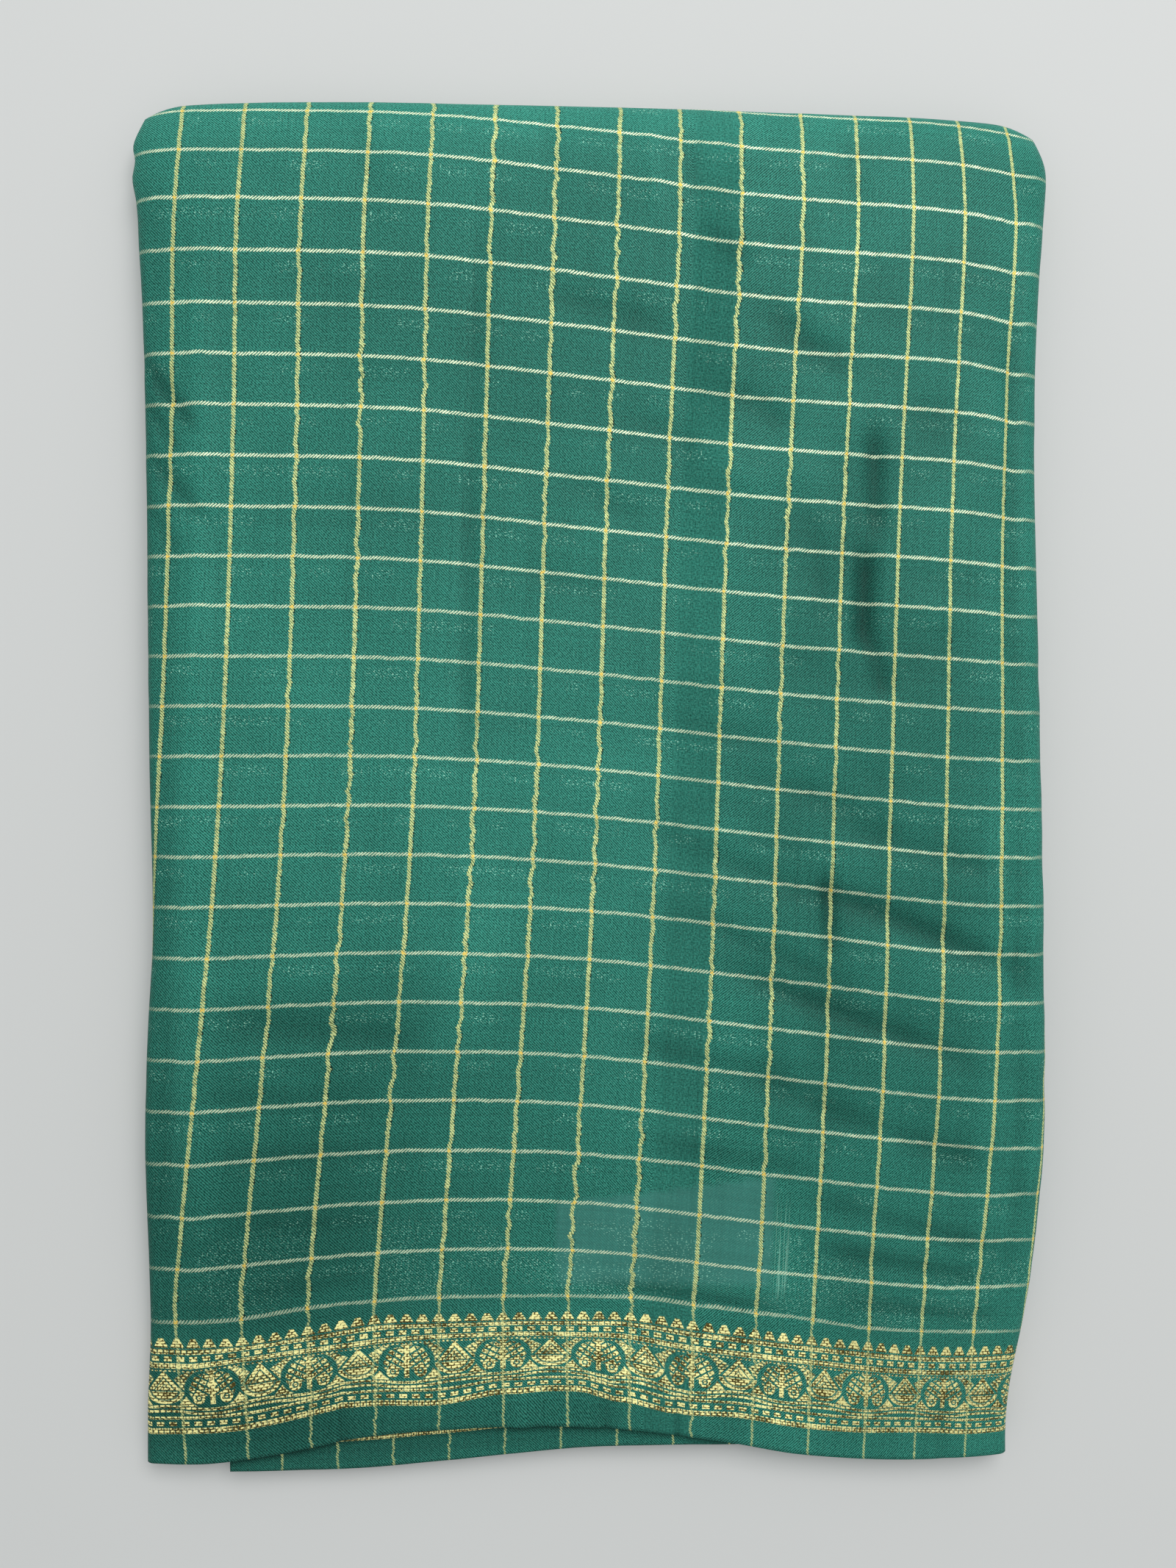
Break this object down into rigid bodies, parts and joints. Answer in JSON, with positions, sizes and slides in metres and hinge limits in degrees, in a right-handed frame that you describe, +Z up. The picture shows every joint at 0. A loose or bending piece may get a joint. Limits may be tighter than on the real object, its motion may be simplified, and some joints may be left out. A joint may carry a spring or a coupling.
{
  "type": "folded saree",
  "caption": "Long checked silk cloth with a woven border, folded into a flat soft-edged bundle that lies on a table.",
  "frame": {"origin": "middle of the folded cloth's footprint, on the surface that it lies on", "axes": "+Z up out of the stack of layers, +Y from the selvedges at the near end to the fold at the far end, +X across the folded cloth to the right"},
  "size_m": [0.3805, 0.5748, 0.0267],
  "materials": {
    "silk": "teal green silk twill with gold and pale gold checks and a woven gold border",
    "silk_inside": "the same cloth in the shade between the layers"
  },
  "bodies": {
    "root": {"front_stretch": "silk", "back_stretch": "silk", "second_stretch": "silk", "hidden_layers": "silk_inside"}
  },
  "joints": []
}
